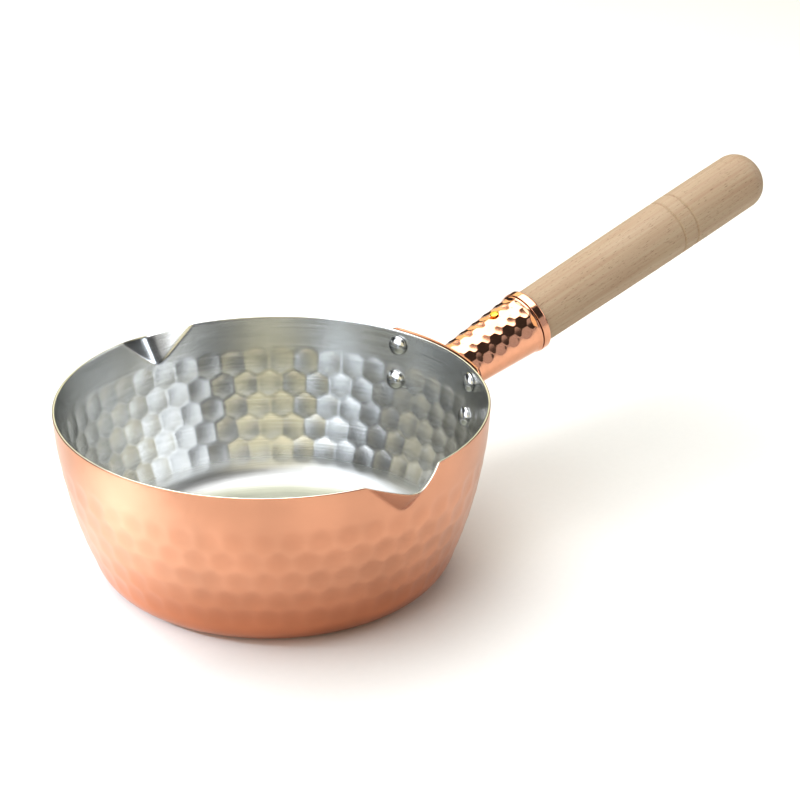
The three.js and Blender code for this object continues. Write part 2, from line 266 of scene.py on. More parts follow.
class Stick:
    """Radii about the handle's axis, where s runs along it from the rim's cylinder."""

    def __init__(self, sizes, pan, bracket):
        self.sizes = sizes
        self.gap = bracket.gap
        self.collar_start = sizes.tube_length + sizes.crevice
        self.collar_end = self.collar_start + sizes.collar_length
        self.wood_start = self.collar_end - sizes.shank_length
        self.wood_end = self.collar_end + sizes.wood_length
        self.tip_start = self.wood_end - sizes.tip_radius
        self.belly = self.collar_end + sizes.belly_place
        place = Matrix.Translation((pan.rim_radius, 0, pan.height - sizes.drop))
        along = Matrix.Rotation(math.pi / 2 - sizes.tilt, 4, "Y")
        self.lathe_frame = place @ along

    def tube(self, s):
        """Outer radius of the tapered tube."""
        share = s / self.sizes.tube_length
        return (self.sizes.tube_root + (self.sizes.tube_mouth - self.sizes.tube_root) * share) / 2

    def bore(self, s):
        """Inner radius of the tube."""
        return self.tube(s) - self.sizes.tube_wall

    def shank(self, s):
        """Radius of the wood inside the tube."""
        return self.bore(s) - self.gap

    def wood(self, s):
        """Radius of the bare wood, without its grooves."""
        sizes = self.sizes
        if s < self.belly:
            end = self.shank(self.collar_end)
            share = (self.belly - s) / sizes.belly_place
        else:
            end = sizes.wood_tail / 2
            share = (s - self.belly) / (self.tip_start - self.belly)
        return end + (sizes.wood_belly / 2 - end) * math.cos(share * math.pi / 2)


def steps(start, end, count):
    """Evenly spaced values from start to end, both included."""
    return [start + (end - start) * i / count for i in range(count + 1)]


def arc(radius, height, size, start, end, count):
    """Points of an arc in a section, as (radius, height) pairs."""
    turns = steps(start, end, count)
    return [(radius + size * math.cos(a), height + size * math.sin(a)) for a in turns]


def dome(radius, foot, edge, rise, count):
    """A low dome on a short straight edge, as (radius, height) pairs from its edge to the axis."""
    return [
        (radius * math.cos(a), foot + edge + (rise - edge) * math.sin(a))
        for a in steps(0, math.pi / 2, count)
    ]


def smooth_step(share):
    """Eases from 0 to 1."""
    share = max(0.0, min(1.0, share))
    return share * share * (3 - 2 * share)


class Marks:
    """Staggered rows of round blows about Z, each a shallow dome, of which the highest wins."""

    def __init__(self, count, rows, row_pitch, reach, phase, seed, spread, jog=0.0, limit=TURN):
        chance = random.Random(seed)
        self.count = count
        self.rows = rows
        self.row_pitch = row_pitch
        self.reach = reach
        self.phase = phase
        self.limit = limit
        self.blows = {}
        for row in range(rows):
            for column in range(count):
                height = chance.uniform(1 - spread, 1 + spread)
                shift = (chance.uniform(-1, 1) * jog, chance.uniform(-1, 1) * jog)
                self.blows[row, column] = (height, shift)

    def height(self, around, radius, depth, slope=1.0):
        """From 0 between the marks to about 1 on each, at a depth down from the first row."""
        pitch = TURN / self.count
        nearest = round(depth / self.row_pitch)
        best = 0.0
        for row in range(max(0, nearest - 1), min(self.rows, nearest + 2)):
            start = self.phase + (row % 2) * pitch / 2
            middle = math.floor((around - start) / pitch + 0.5)
            for column in (middle - 1, middle, middle + 1):
                centre = start + column * pitch
                if abs(centre) > self.limit:
                    continue
                height, (shift_across, shift_along) = self.blows[row, column % self.count]
                across = (around - centre) * radius + shift_across
                along = (row * self.row_pitch - depth) / slope + shift_along
                share = (across * across + along * along) / (self.reach * self.reach)
                best = max(best, height * (1 - share))
        return best


# ---- mesh helpers -------------------------------------------------------------------------


def turn_section(points, sides, closed=False):
    """A closed skin, made by spinning a section of (radius, height) pairs about Z."""
    bm = bmesh.new()
    verts = [bm.verts.new((max(radius, 0.0), 0, height)) for radius, height in points]
    edges = [bm.edges.new(pair) for pair in zip(verts, verts[1:])]
    if closed:
        edges.append(bm.edges.new((verts[-1], verts[0])))
    bmesh.ops.spin(
        bm, geom=verts + edges, cent=(0, 0, 0), axis=(0, 0, 1), angle=TURN, steps=sides,
        use_merge=True, use_duplicate=False
    )
    bmesh.ops.remove_doubles(bm, verts=bm.verts, dist=SAME_PLACE)
    bmesh.ops.recalc_face_normals(bm, faces=bm.faces)
    return bm


def finish_piece(bm, name, nodes, materials, smooth_angle=35, place=Matrix()):
    """Puts a bmesh in its place, as a piece that rides on the pan and stands for CAD nodes."""
    bmesh.ops.transform(bm, matrix=place, verts=bm.verts)
    bmesh.ops.recalc_face_normals(bm, faces=bm.faces)
    mesh = bpy.data.meshes.new(name)
    bm.to_mesh(mesh)
    bm.free()
    for material in materials:
        mesh.materials.append(material)
    piece = bpy.data.objects.new(name, mesh)
    bpy.context.scene.collection.objects.link(piece)
    for polygon in mesh.polygons:
        polygon.use_smooth = True
    mesh.set_sharp_from_angle(angle=math.radians(smooth_angle))
    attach(piece, "root")
    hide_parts(*nodes)
    return piece


# ---- materials ----------------------------------------------------------------------------


def fill_inputs(tree, node, inputs):
    """Gives each input of a node a value, or links the output that feeds it."""
    for name, value in inputs.items():
        if isinstance(value, bpy.types.NodeSocket):
            tree.links.new(value, node.inputs[name])
        else:
            node.inputs[name].default_value = value


def add_node(tree, kind, output, inputs, **settings):
    """Adds a node with its settings, fills its inputs, and returns one of its outputs."""
    node = tree.nodes.new(kind)
    for name, value in settings.items():
        setattr(node, name, value)
    fill_inputs(tree, node, inputs)
    return node.outputs[output]


def new_material(name, base, metallic):
    """A material, its nodes, its Principled shader, and a point's place on the piece."""
    material = bpy.data.materials.new(name)
    material.use_nodes = True
    material.diffuse_color = base
    tree = material.node_tree
    shader = tree.nodes["Principled BSDF"]
    shader.inputs["Metallic"].default_value = metallic
    place = add_node(tree, "ShaderNodeTexCoord", "Object", {})
    return material, tree, shader, place


def scaled(base, share):
    """A colour made lighter or darker."""
    return (*[channel * share for channel in base[:3]], 1.0)


def shaded(tree, colour, pattern, span, low, high=WHITE, amount=1.0):
    """A colour times a tone that runs from low to high as a pattern runs over its span."""
    share = add_node(
        tree, "ShaderNodeMapRange", "Result", {"Value": pattern, "From Min": span[0], "From Max": span[1]}
    )
    tone = add_node(
        tree, "ShaderNodeMix", "Result", {"Factor": share, "A": low, "B": high}, data_type="RGBA"
    )
    return add_node(
        tree, "ShaderNodeMix", "Result", {"Factor": amount, "A": colour, "B": tone},
        data_type="RGBA", blend_type="MULTIPLY"
    )


def ring_streaks(tree, place, ring_pitch, arc_length):
    """Noise drawn out in rings about Z, as a wheel or wire brush leaves on a turning bowl."""
    flat = add_node(tree, "ShaderNodeVectorMath", "Vector", {0: place, 1: (1, 1, 0)}, operation="MULTIPLY")
    radius = add_node(tree, "ShaderNodeVectorMath", "Value", {0: flat}, operation="LENGTH")
    height = add_node(tree, "ShaderNodeSeparateXYZ", "Z", {"Vector": place})
    along = add_node(tree, "ShaderNodeMath", 0, {0: radius, 1: height}, operation="ADD")
    rings = add_node(tree, "ShaderNodeMath", 0, {0: along, 1: 1 / ring_pitch}, operation="MULTIPLY")
    stretch = add_node(
        tree, "ShaderNodeVectorMath", "Vector", {0: flat, "Scale": 1 / arc_length}, operation="SCALE"
    )
    return add_node(
        tree, "ShaderNodeTexNoise", 0,
        {"Vector": stretch, "W": rings, "Scale": 1.0, "Detail": 3.0, "Roughness": 0.65},
        noise_dimensions="4D"
    )


def grain_noise(tree, place, tilt, along, across, detail, shift):
    """Noise drawn out along the handle's axis, with its lengths in metres."""
    level = add_node(
        tree, "ShaderNodeMapping", "Vector",
        {"Vector": place, "Rotation": (0, tilt, 0), "Location": (shift, 0, 0)}
    )
    scale = (1 / along, 1 / across, 1 / across)
    stretch = add_node(tree, "ShaderNodeMapping", "Vector", {"Vector": level, "Scale": scale})
    return add_node(
        tree, "ShaderNodeTexNoise", 0,
        {"Vector": stretch, "Scale": 1.0, "Detail": detail, "Roughness": 0.55}
    )


def brushed_copper(scene):
    """Copper brushed on the wheel: fine rings, clouds, duller dishes, and painted shade near the base."""
    base = tuple(scene.saucepan_colours.copper)
    material, tree, shader, place = new_material("brushed_copper", base, 1.0)
    # Brush lines really lie about 0.1 mm apart, and are drawn coarser so that they show.
    streaks = ring_streaks(tree, place, 0.35 * MM, 45 * MM)
    clouds = add_node(tree, "ShaderNodeTexNoise", 0, {"Vector": place, "Scale": 1 / (30 * MM)})
    blow = add_node(tree, "ShaderNodeAttribute", "Fac", {}, attribute_name="blow")
    height = add_node(tree, "ShaderNodeSeparateXYZ", "Z", {"Vector": place})
    tone = shaded(tree, base, clouds, (0.3, 0.7), scaled(WHITE, 0.9), scaled(WHITE, 1.05))
    tone = shaded(tree, tone, streaks, (0.3, 0.7), (0.97, 0.965, 0.96, 1))
    tone = shaded(tree, tone, blow, (0.2, 0.95), WHITE, (0.94, 0.915, 0.9, 1))
    # Painted shade: darker and redder towards the base, standing for the shaded floor that the foot
    # reflects.
    tone = shaded(tree, tone, height, (2 * MM, 34 * MM), (0.94, 0.74, 0.6, 1))
    roughness = add_node(
        tree, "ShaderNodeMapRange", "Result", {"Value": streaks, "To Min": 0.22, "To Max": 0.28}
    )
    relief = add_node(tree, "ShaderNodeBump", "Normal", {"Height": streaks, "Distance": 0.003 * MM})
    fill_inputs(tree, shader, {"Base Color": tone, "Roughness": roughness, "Normal": relief})
    return material


def wiped_tin(scene):
    """Tin wiped on hot and burnished in rings: silver-grey, duller on the flat floor, with painted shade
    there.
    """
    base = tuple(scene.saucepan_colours.tin)
    material, tree, shader, place = new_material("wiped_tin", base, 1.0)
    # The wiping lines are drawn coarser than real ones too. The floor's finish ends in the bend.
    streaks = ring_streaks(tree, place, 0.5 * MM, 25 * MM)
    clouds = add_node(tree, "ShaderNodeTexNoise", 0, {"Vector": place, "Scale": 1 / (22 * MM)})
    height = add_node(tree, "ShaderNodeSeparateXYZ", "Z", {"Vector": place})
    tone = shaded(tree, base, clouds, (0.3, 0.7), scaled(WHITE, 0.92), scaled(WHITE, 1.04))
    tone = shaded(tree, tone, streaks, (0.3, 0.65), (0.84, 0.84, 0.83, 1))
    # Painted shade: the flat floor is drawn darker and yellower, to dim its reflection.
    tone = shaded(tree, tone, height, (1.8 * MM, 4.2 * MM), (0.63, 0.63, 0.53, 1))
    burnished = add_node(
        tree, "ShaderNodeMapRange", "Result", {"Value": streaks, "To Min": 0.2, "To Max": 0.3}
    )
    scoured = add_node(
        tree, "ShaderNodeMapRange", "Result",
        {"Value": height, "From Min": 4 * MM, "From Max": 14 * MM, "To Min": 0.22, "To Max": 0.0}
    )
    roughness = add_node(tree, "ShaderNodeMath", 0, {0: burnished, 1: scoured}, operation="ADD")
    relief = add_node(tree, "ShaderNodeBump", "Normal", {"Height": streaks, "Distance": 0.02 * MM})
    fill_inputs(tree, shader, {"Base Color": tone, "Roughness": roughness, "Normal": relief})
    return material


def buffed_copper(scene):
    """Copper buffed to a mirror: hard dark and light reflections, a little clouded by wiping."""
    base = tuple(scene.saucepan_colours.polished)
    material, tree, shader, place = new_material("buffed_copper", base, 1.0)
    clouds = add_node(tree, "ShaderNodeTexNoise", 0, {"Vector": place, "Scale": 1 / (6 * MM), "Detail": 4})
    tone = shaded(tree, base, clouds, (0.3, 0.7), scaled(WHITE, 0.9), scaled(WHITE, 1.03))
    roughness = add_node(
        tree, "ShaderNodeMapRange", "Result", {"Value": clouds, "To Min": 0.1, "To Max": 0.17}
    )
    fill_inputs(tree, shader, {"Base Color": tone, "Roughness": roughness})
    return material


def headed_steel(scene):
    """Stainless steel as it leaves the heading die: a bright dome with faint scuffs."""
    base = tuple(scene.saucepan_colours.steel)
    material, tree, shader, place = new_material("headed_steel", base, 1.0)
    scuffs = add_node(tree, "ShaderNodeTexNoise", 0, {"Vector": place, "Scale": 1 / (1.2 * MM), "Detail": 5})
    tone = shaded(tree, base, scuffs, (0.35, 0.65), scaled(WHITE, 0.86))
    roughness = add_node(
        tree, "ShaderNodeMapRange", "Result", {"Value": scuffs, "To Min": 0.1, "To Max": 0.26}
    )
    fill_inputs(tree, shader, {"Base Color": tone, "Roughness": roughness})
    return material


def turned_brass(scene):
    """A turned brass screw head, yellow beside the copper, with faint scuffs."""
    base = tuple(scene.saucepan_colours.brass)
    material, tree, shader, place = new_material("turned_brass", base, 1.0)
    scuffs = add_node(tree, "ShaderNodeTexNoise", 0, {"Vector": place, "Scale": 1 / (0.8 * MM), "Detail": 4})
    tone = shaded(tree, base, scuffs, (0.35, 0.65), scaled(WHITE, 0.85))
    roughness = add_node(
        tree, "ShaderNodeMapRange", "Result", {"Value": scuffs, "To Min": 0.15, "To Max": 0.3}
    )
    fill_inputs(tree, shader, {"Base Color": tone, "Roughness": roughness})
    return material


def bare_beech(scene):
    """Unfinished beech: pale, matt, with long faint grain lines and short darker flecks."""
    base = tuple(scene.saucepan_colours.beech)
    dark = tuple(scene.saucepan_colours.beech_dark)
    tilt = scene.saucepan_handle.tilt
    material, tree, shader, place = new_material("bare_beech", base, 0.0)
    # Grain lines lie about 1 mm apart, and the flecks are the wood's rays, 2 to 3 mm long.
    lines = grain_noise(tree, place, tilt, 60 * MM, 1.1 * MM, 3.0, 0.0)
    broad = grain_noise(tree, place, tilt, 90 * MM, 7 * MM, 1.0, 0.3)
    flecks = grain_noise(tree, place, tilt, 2.6 * MM, 0.32 * MM, 1.0, 0.7)
    tone = shaded(tree, WHITE, lines, (0.32, 0.62), scaled(dark, 1.32), base)
    tone = shaded(tree, tone, broad, (0.35, 0.6), (0.93, 0.9, 0.87, 1))
    tone = shaded(tree, tone, flecks, (0.26, 0.36), dark, amount=0.6)
    roughness = add_node(
        tree, "ShaderNodeMapRange", "Result", {"Value": lines, "To Min": 0.7, "To Max": 0.55}
    )
    relief = add_node(
        tree, "ShaderNodeBump", "Normal", {"Height": flecks, "Distance": 0.05 * MM, "Strength": 0.5}
    )
    fill_inputs(tree, shader, {"Base Color": tone, "Roughness": roughness, "Normal": relief})
    return material


def studio_paper(scene):
    """Seamless white paper: matt, with a tooth too fine to see as more than a soft grain."""
    base = tuple(scene.saucepan_colours.paper)
    material, tree, shader, place = new_material("studio_paper", base, 0.0)
    # The real tooth is far finer than this, and is drawn coarser so that it can show.
    tooth = add_node(tree, "ShaderNodeTexNoise", 0, {"Vector": place, "Scale": 1 / (3 * MM), "Detail": 3})
    tone = shaded(tree, base, tooth, (0.3, 0.7), scaled(WHITE, 0.99))
    fill_inputs(tree, shader, {"Base Color": tone, "Roughness": 0.9})
    return material


def finish(maker, scene):
    """The material that a maker makes, made the first time that a piece asks for it."""
    return bpy.data.materials.get(maker.__name__) or maker(scene)


# ---- hammered bowl ------------------------------------------------------------------------


def bowl_section(bowl, row_step):
    """The bowl's closed section, from the axis inside, over the rim, to the axis outside."""
    sizes = bowl.sizes
    edge = sizes.wall * 0.35
    bend_steps, lip_steps, floor_steps = 14, 3, 7
    rows = round((sizes.height - bowl.foot_top) / row_step)
    heights = steps(bowl.foot_top, sizes.height - edge, rows)[1:]
    turn = (-math.pi / 2, -sizes.lean_at_foot, bend_steps)
    floor = [(radius, sizes.wall) for radius in steps(0, bowl.flat, floor_steps)[:-1]]
    inner_bend = arc(bowl.flat, sizes.foot_radius, sizes.foot_radius - sizes.wall, *turn)
    inner_side = [bowl.point(z, 0).xz for z in heights]
    inner_lip = arc(
        sizes.rim_radius - sizes.wall + edge, sizes.height - edge, edge, math.pi, math.pi / 2, lip_steps
    )
    outer_lip = arc(sizes.rim_radius - edge, sizes.height - edge, edge, math.pi / 2, 0, lip_steps)
    outer_side = [bowl.point(z, sizes.wall).xz for z in heights]
    outer_bend = arc(bowl.flat, sizes.foot_radius, sizes.foot_radius, *turn)
    base = [(radius, 0.0) for radius, _ in floor]
    inside = floor + inner_bend + inner_side + inner_lip[1:]
    outside = base + outer_bend + outer_side + outer_lip[-2::-1]
    return inside + outside[::-1]


def hammer_bowl(bm, bowl):
    """Drives the sheet inwards at every mark: bumps on the tinned side, dishes on the copper."""
    sizes = bowl.sizes
    marks = Marks(
        sizes.marks_round, sizes.mark_rows, sizes.row_pitch, sizes.mark_reach, sizes.mark_phase,
        seed=11, spread=0.16, jog=sizes.mark_jog
    )
    bm.normal_update()
    blow = bm.verts.layers.float.new("blow")
    for vert in bm.verts:
        x, y, z = vert.co
        radius = math.hypot(x, y)
        depth = sizes.height - sizes.top_row - z
        height = marks.height(math.atan2(y, x), radius, depth, math.cos(bowl.lean(z)))
        vert[blow] = height
        inside = bowl.out(radius, z) < sizes.wall / 2
        rise = sizes.mark_inside if inside else -sizes.mark_outside
        vert.co += vert.normal * rise * height


def press_spouts(bm, bowl):
    """Folds a pouring spout out of the rim on both sides."""
    for vert in bm.verts:
        x, y, z = vert.co
        rise = bowl.spout_rise(x, y, z)
        if rise > 0:
            grow = 1 + bowl.sizes.spout_reach * rise / math.hypot(x, y)
            vert.co = (x * grow, y * grow, z - bowl.sizes.spout_dip * rise)


class SAUCEPAN_OT_bowl(bpy.types.Operator):
    """Spins, hammers and tins the bowl, and presses its two spouts"""

    bl_idname = "saucepan.bowl"
    bl_label = "Hammered bowl"

    def execute(self, context):
        scene = context.scene
        sizes = scene.saucepan_pan
        bowl = Bowl(sizes)
        faces_per_mark = 10
        tinned = sizes.wall * 0.8
        section = bowl_section(bowl, sizes.row_pitch / faces_per_mark)
        bm = turn_section(section, sizes.marks_round * faces_per_mark)
        for face in bm.faces:
            x, y, z = face.calc_center_median()
            face.material_index = int(bowl.out(math.hypot(x, y), z) > tinned)
        hammer_bowl(bm, bowl)
        press_spouts(bm, bowl)
        finishes = [finish(wiped_tin, scene), finish(brushed_copper, scene)]
        finish_piece(bm, "hammered_bowl", ["pan_body"], finishes, 50)
        return {"FINISHED"}


# ---- handle bracket and rivets ------------------------------------------------------------


class SAUCEPAN_OT_bracket(bpy.types.Operator):
    """Cuts the bracket's rounded plate and bends it to the wall"""

    bl_idname = "saucepan.bracket"
    bl_label = "Handle bracket"

    def execute(self, context):
        scene = context.scene
        sizes = scene.saucepan_bracket
        bowl = Bowl(scene.saucepan_pan)
        low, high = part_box("handle_bracket")
        size = Vector((high.y - low.y, high.z - low.z, 1))
        cell = 2 * MM
        bm = bmesh.new()
        bmesh.ops.create_grid(bm, x_segments=1, y_segments=1, size=0.5)
        bmesh.ops.scale(bm, vec=size, verts=bm.verts)
        bmesh.ops.bevel(
            bm, geom=bm.verts, offset=sizes.corner, offset_type="OFFSET", affect="VERTICES",
            segments=10, profile=0.5, material=-1
        )
        for axis, span in ((Vector((1, 0, 0)), size.x), (Vector((0, 1, 0)), size.y)):
            for place in steps(-span / 2, span / 2, round(span / cell))[1:-1]:
                bmesh.ops.bisect_plane(
                    bm, geom=bm.verts[:] + bm.edges[:] + bm.faces[:], dist=SAME_PLACE,
                    plane_co=axis * place, plane_no=axis
                )
        made = bmesh.ops.extrude_face_region(bm, geom=bm.faces[:])
        front = {item for item in made["geom"] if isinstance(item, bmesh.types.BMVert)}
        middle = (low.z + high.z) / 2
        back = bowl.sizes.wall + sizes.gap
        for vert in bm.verts:
            across, up = vert.co.x, vert.co.y + middle
            out = back + (sizes.thickness if vert in front else 0)
            radius = bowl.radius(up, out)
            vert.co = (math.sqrt(radius * radius - across * across), across, up)
        copper = finish(brushed_copper, scene)
        piece = finish_piece(bm, "bent_bracket", ["handle_bracket"], [copper])
        worn = piece.modifiers.new("worn edge", "BEVEL")
        worn.width = 0.3 * MM
        worn.segments = 3
        worn.limit_method = "ANGLE"
        worn.angle_limit = math.radians(40)
        return {"FINISHED"}


class SAUCEPAN_OT_rivets(bpy.types.Operator):
    """Heads the four rivets, with domes inside the pan and set heads on the bracket"""

    bl_idname = "saucepan.rivets"
    bl_label = "Rivets"

    def execute(self, context):
        scene = context.scene
        pan = scene.saucepan_pan
        sizes = scene.saucepan_bracket
        bowl = Bowl(pan)
        steel = finish(headed_steel, scene)
        seat = pan.wall + 2 * sizes.gap + sizes.thickness
        head = sizes.rivet_head / 2
        shank = sizes.rivet_shank / 2
        under = head - sizes.rivet_edge / 2
        section = dome(head, -sizes.gap, -sizes.rivet_edge, -sizes.rivet_dome, 12)[::-1]
        section += [(under, -sizes.gap), (shank, -sizes.gap), (shank, seat), (under, seat)]
        section += dome(head, seat, sizes.rivet_edge, sizes.rivet_set, 10)
        swing = math.asin(sizes.rivet_across / 2 / pan.rim_radius)
        for side, side_name in ((-1, "right"), (1, "left")):
            for row, row_name in enumerate(("upper", "lower")):
                z = pan.height - sizes.rivet_drop - row * sizes.rivet_pitch
                turn = Matrix.Rotation(side * swing, 4, "Z")
                stand = Matrix.Rotation(bowl.lean(z) + math.pi / 2, 4, "Y")
                place = turn @ Matrix.Translation(bowl.point(z, 0)) @ stand
                node = f"rivet_{side_name}_{row_name}"
                bm = turn_section(section, 40)
                finish_piece(bm, f"headed_{node}", [node], [steel], 50, place)
        return {"FINISHED"}


# ---- handle -------------------------------------------------------------------------------


def root_start(stick, bowl, bracket, across, up):
    """Where a line of the tube, given by its direction from the axis, meets the bracket."""
    out = bowl.sizes.wall + 2 * bracket.gap + bracket.thickness
    low, high = -stick.sizes.tube_root, stick.sizes.tube_length / 2
    for _ in range(40):
        s = (low + high) / 2
        radius = stick.tube(s)
        spot = stick.lathe_frame @ Vector((-up * radius, across * radius, s))
        height = min(spot.z, bowl.sizes.height)
        outside = math.hypot(spot.x, spot.y) > bowl.radius(height, out)
        low, high = (low, s) if outside else (s, high)
    return (low + high) / 2


class SAUCEPAN_OT_socket(bpy.types.Operator):
    """Rolls the tapered tube, dents its upper side and fits its root to the bracket"""

    bl_idname = "saucepan.socket"
    bl_label = "Handle socket"

    def execute(self, context):
        scene = context.scene
        sizes = scene.saucepan_handle
        stick = Stick(sizes, scene.saucepan_pan, scene.saucepan_bracket)
        bowl = Bowl(scene.saucepan_pan)
        end = sizes.tube_length
        edge = sizes.flare / 2
        flare_start = end - sizes.flare_length
        neck, lip = stick.tube(flare_start), stick.tube(end) + sizes.flare
        section = [(stick.tube(s), s) for s in steps(0, flare_start, 90)]
        section += [
            (neck + (lip - neck) * smooth_step(t), flare_start + 0.8 * sizes.flare_length * t)
            for t in steps(0, 1, 8)[1:]
        ]
        section += arc(lip - edge, end - edge, edge, 0, math.pi / 2, 4)
        section += [(stick.bore(s), s) for s in steps(end, 0, 12)]
        sides = 200
        bm = turn_section(section, sides, closed=True)

        # The tube's slanted root starts below the rim, so some rows are to spare.
        spare_rows = 3
        rows = math.ceil(end / sizes.dent_pitch) + spare_rows
        first_row = 1.5 * TURN / sizes.dents_round
        marks = Marks(
            sizes.dents_round, rows, sizes.dent_pitch, sizes.dent_reach, first_row, seed=5,
            spread=0.12, limit=sizes.dent_limit
        )
        plain_start = end - 0.6 * sizes.flare_length
        fade_length = 1.2 * MM
        roots = {}
        for vert in bm.verts:
            x, y, s = vert.co
            radius = math.hypot(x, y)
            line = round(math.atan2(y, x) / TURN * sides)
            if line not in roots:
                roots[line] = root_start(stick, bowl, scene.saucepan_bracket, y / radius, -x / radius)
            moved = roots[line] + (end - roots[line]) * s / end
            grown = radius + stick.tube(moved) - stick.tube(s)
            if radius > stick.tube(s) - sizes.tube_wall / 2:
                depth = end - sizes.first_dent - moved
                dent = marks.height(math.atan2(-y, -x), stick.tube(moved), depth)
                grown -= sizes.dent_depth * dent * smooth_step((plain_start - s) / fade_length)
            vert.co = (x * grown / radius, y * grown / radius, moved)
        copper = finish(buffed_copper, scene)
        finish_piece(
            bm, "hammered_socket", ["handle_socket"], [copper], 50,
            stick.lathe_frame
        )
        return {"FINISHED"}


class SAUCEPAN_OT_collar(bpy.types.Operator):
    """Turns the smooth ring on the mouth of the tube"""

    bl_idname = "saucepan.collar"
    bl_label = "Socket collar"

    def execute(self, context):
        scene = context.scene
        sizes = scene.saucepan_handle
        stick = Stick(sizes, scene.saucepan_pan, scene.saucepan_bracket)
        start, end = stick.collar_start, stick.collar_end
        outer = stick.bore(end) + sizes.collar_wall
        edge = sizes.collar_edge
        soft = 0.25 * MM
        section = [(stick.bore(start), start)]
        section += arc(outer - soft, start + soft, soft, -math.pi / 2, 0, 4)
        section += [(outer, s) for s in steps(start + soft, end - edge, 6)[1:-1]]
        section += arc(outer - edge, end - edge, edge, 0, math.pi / 2, 8)
        section += [(stick.bore(s), s) for s in steps(end, start, 5)[:-1]]
        bm = turn_section(section, 128, closed=True)
        copper = finish(buffed_copper, scene)
        finish_piece(
            bm, "turned_collar", ["socket_collar"], [copper], 50, stick.lathe_frame
        )
        return {"FINISHED"}


def grooved_radius(stick, s):
    """Radius of the bare wood, with its two grooves."""
    sizes = stick.sizes
    depth = 0.0
    for back in (sizes.groove_inner, sizes.groove_outer):
        away = abs(s - (stick.wood_end - back)) / (sizes.groove_width / 2)
        depth = max(depth, 1 - smooth_step(away))
    return stick.wood(s) - sizes.groove_depth * depth


class SAUCEPAN_OT_wood(bpy.types.Operator):
    """Turns the beech handle, with its hidden shank, two grooves and rounded tip"""

    bl_idname = "saucepan.wood"
    bl_label = "Wooden handle"

    def execute(self, context):
        scene = context.scene
        sizes = scene.saucepan_handle
        stick = Stick(sizes, scene.saucepan_pan, scene.saucepan_bracket)
        start, end = stick.wood_start, stick.wood_end
        chamfer = 1 * MM
        section = [(0, start), (stick.shank(start) - chamfer, start)]
        section += [(stick.shank(s), s) for s in steps(start + chamfer, stick.collar_end, 8)[:-1]]
        plain = steps(stick.collar_end, stick.tip_start, 48)
        fine = []
        for back in (sizes.groove_inner, sizes.groove_outer):
            groove = end - back
            plain = [s for s in plain if abs(s - groove) > sizes.groove_width]
            fine += steps(groove - sizes.groove_width, groove + sizes.groove_width, 20)
        section += [(grooved_radius(stick, s), s) for s in sorted(plain + fine)]
        tail = sizes.wood_tail / 2 - sizes.tip_radius
        section += arc(tail, stick.tip_start, sizes.tip_radius, 0, math.pi / 2, 16)[1:]
        section += [(tail / 2, end), (0, end)]
        bm = turn_section(section, 128)
        beech = finish(bare_beech, scene)
        finish_piece(bm, "turned_handle", ["wooden_handle"], [beech], 40, stick.lathe_frame)
        return {"FINISHED"}


class SAUCEPAN_OT_screw(bpy.types.Operator):
    """Turns the round-headed brass screw that locks the wood in the tube"""

    bl_idname = "saucepan.screw"
    bl_label = "Handle screw"

    def execute(self, context):
        scene = context.scene
        sizes = scene.saucepan_handle
        stick = Stick(sizes, scene.saucepan_pan, scene.saucepan_bracket)
        along = sizes.tube_length - sizes.screw_back
        seat = stick.tube(along) + stick.gap
        tip = seat - sizes.screw_length
        head = sizes.screw_head / 2
        shank = sizes.screw_shank / 2
        rim = 0.2 * MM
        section = [(0, tip), (shank, tip + sizes.screw_point), (shank, seat), (head, seat)]
        section += dome(head, seat, rim, sizes.screw_dome, 10)
        bm = turn_section(section, 40)
        upright = Matrix.Rotation(-math.pi / 2, 4, "Y")
        place = stick.lathe_frame @ Matrix.Translation((0, 0, along)) @ upright
        brass = finish(turned_brass, scene)
        finish_piece(bm, "brass_screw", ["handle_screw"], [brass], 40, place)
        return {"FINISHED"}


# ---- stage --------------------------------------------------------------------------------

PAN_MIDDLE = (0, 0, 0.06)
DAYLIGHT = (1, 1, 1)

# Each soft box: centre, size and watts, then its tint, what it faces and the spread of its beam.
# Two boxes overhead whiten the paper, cool ones stand left and right, warm ones front and back.
LIGHTS = {
    "top_box": ((0, 0.65, 1.45), (1.9, 2.5), 8, DAYLIGHT, (0, 0.65, 0)),
    "top_strip": ((0.1, 0.4, 1.4), (1.3, 1.7), 20, DAYLIGHT, (0.1, 0.4, 0)),
    "left_box": ((-0.9, 0.05, 0.55), (1.2, 1.1), 10, (0.93, 0.96, 1)),
    "left_pool": ((-0.42, 0.1, 0.26), (0.03, 0.03), 0.1, (0.62, 0.83, 1), (-0.165, 0.03, 0), 32),
    "right_card": ((0.5, -0.87, 0.26), (0.9, 0.5), 0.9, (0.88, 0.92, 1)),
    "right_back_box": ((1.13, -0.41, 0.60), (0.6, 0.6), 3.5, (0.87, 0.93, 1)),
    "back_card": ((0.65, 1.0, 0.70), (1.3, 0.5), 3, (1, 0.93, 0.62)),
    "warm_card": ((-0.65, -0.95, 0.40), (1.2, 0.9), 4, (1, 0.91, 0.64)),
    "front_card": ((-0.62, -0.62, 1.03), (0.85, 0.6), 0.8),
}


def add_soft_box(name, centre, size, watts, tint=DAYLIGHT, target=PAN_MIDDLE, beam=180):
    """A rectangular light that faces a point and isn't itself seen by the camera."""
    light = bpy.data.lights.new(name, "AREA")
    light.shape = "RECTANGLE"
    light.size, light.size_y = size
    light.energy = watts
    light.color = tint
    light.spread = math.radians(beam)
    lamp = bpy.data.objects.new(name, light)
    bpy.context.scene.collection.objects.link(lamp)
    lamp.location = centre
    lamp.rotation_euler = (Vector(target) - Vector(centre)).to_track_quat("-Z", "Y").to_euler()
    lamp.visible_camera = False


